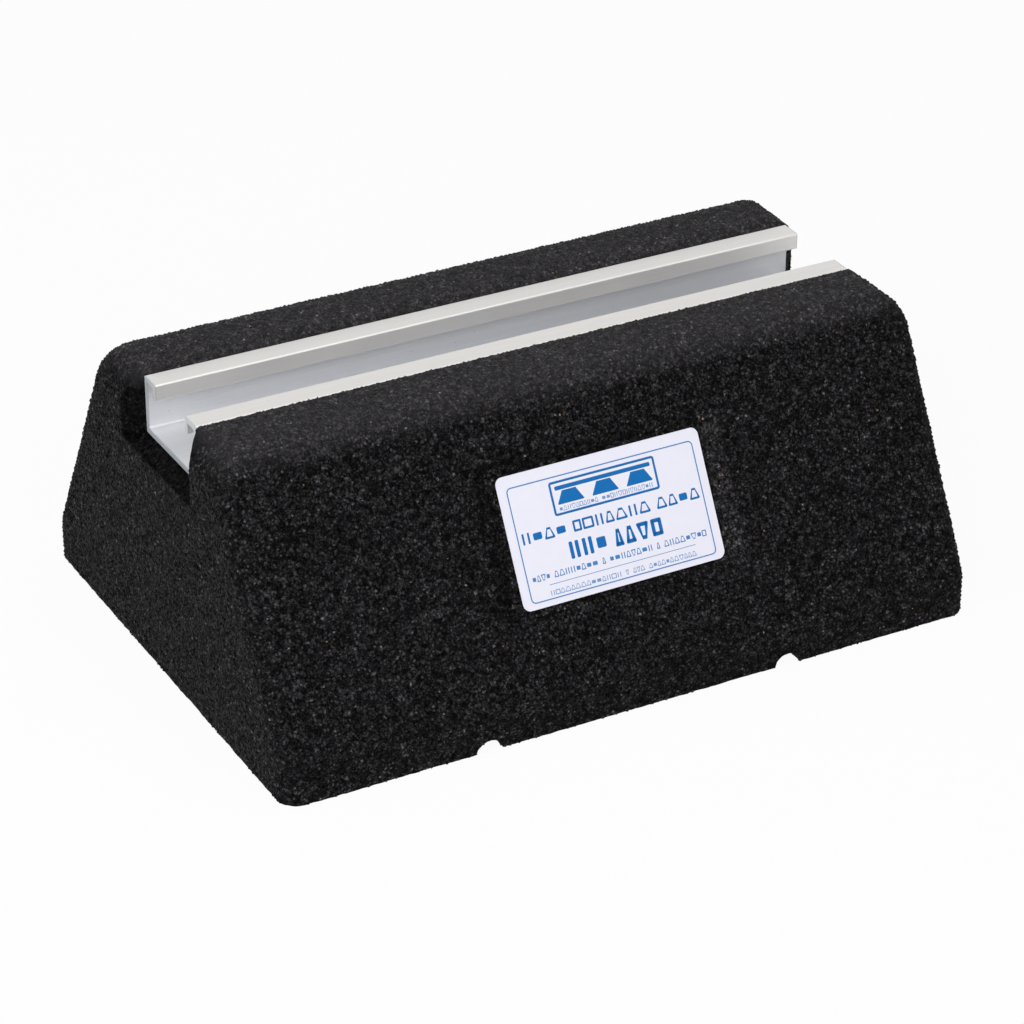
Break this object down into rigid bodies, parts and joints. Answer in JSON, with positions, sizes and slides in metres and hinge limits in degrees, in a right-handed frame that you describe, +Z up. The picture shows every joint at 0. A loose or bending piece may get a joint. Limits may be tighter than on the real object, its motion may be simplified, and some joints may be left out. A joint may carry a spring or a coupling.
{
  "type": "roof support foot",
  "caption": "Block of granulated rubber with a slotted aluminium channel let into its top, laid loose on a flat roof to carry solar frames, pipes or ducts.",
  "frame": {"origin": "centre of the rubber block's base, on the roof surface", "axes": "+X along the block and its rail, +Y across it away from the sticker, +Z up"},
  "size_m": [0.25, 0.18, 0.1],
  "materials": {
    "rubber": "matt, granular",
    "aluminium": "mill, satin",
    "sticker": "satin"
  },
  "bodies": {
    "root": {"rubber_block": "rubber", "channel_rail": "aluminium", "label": "sticker"}
  },
  "joints": []
}
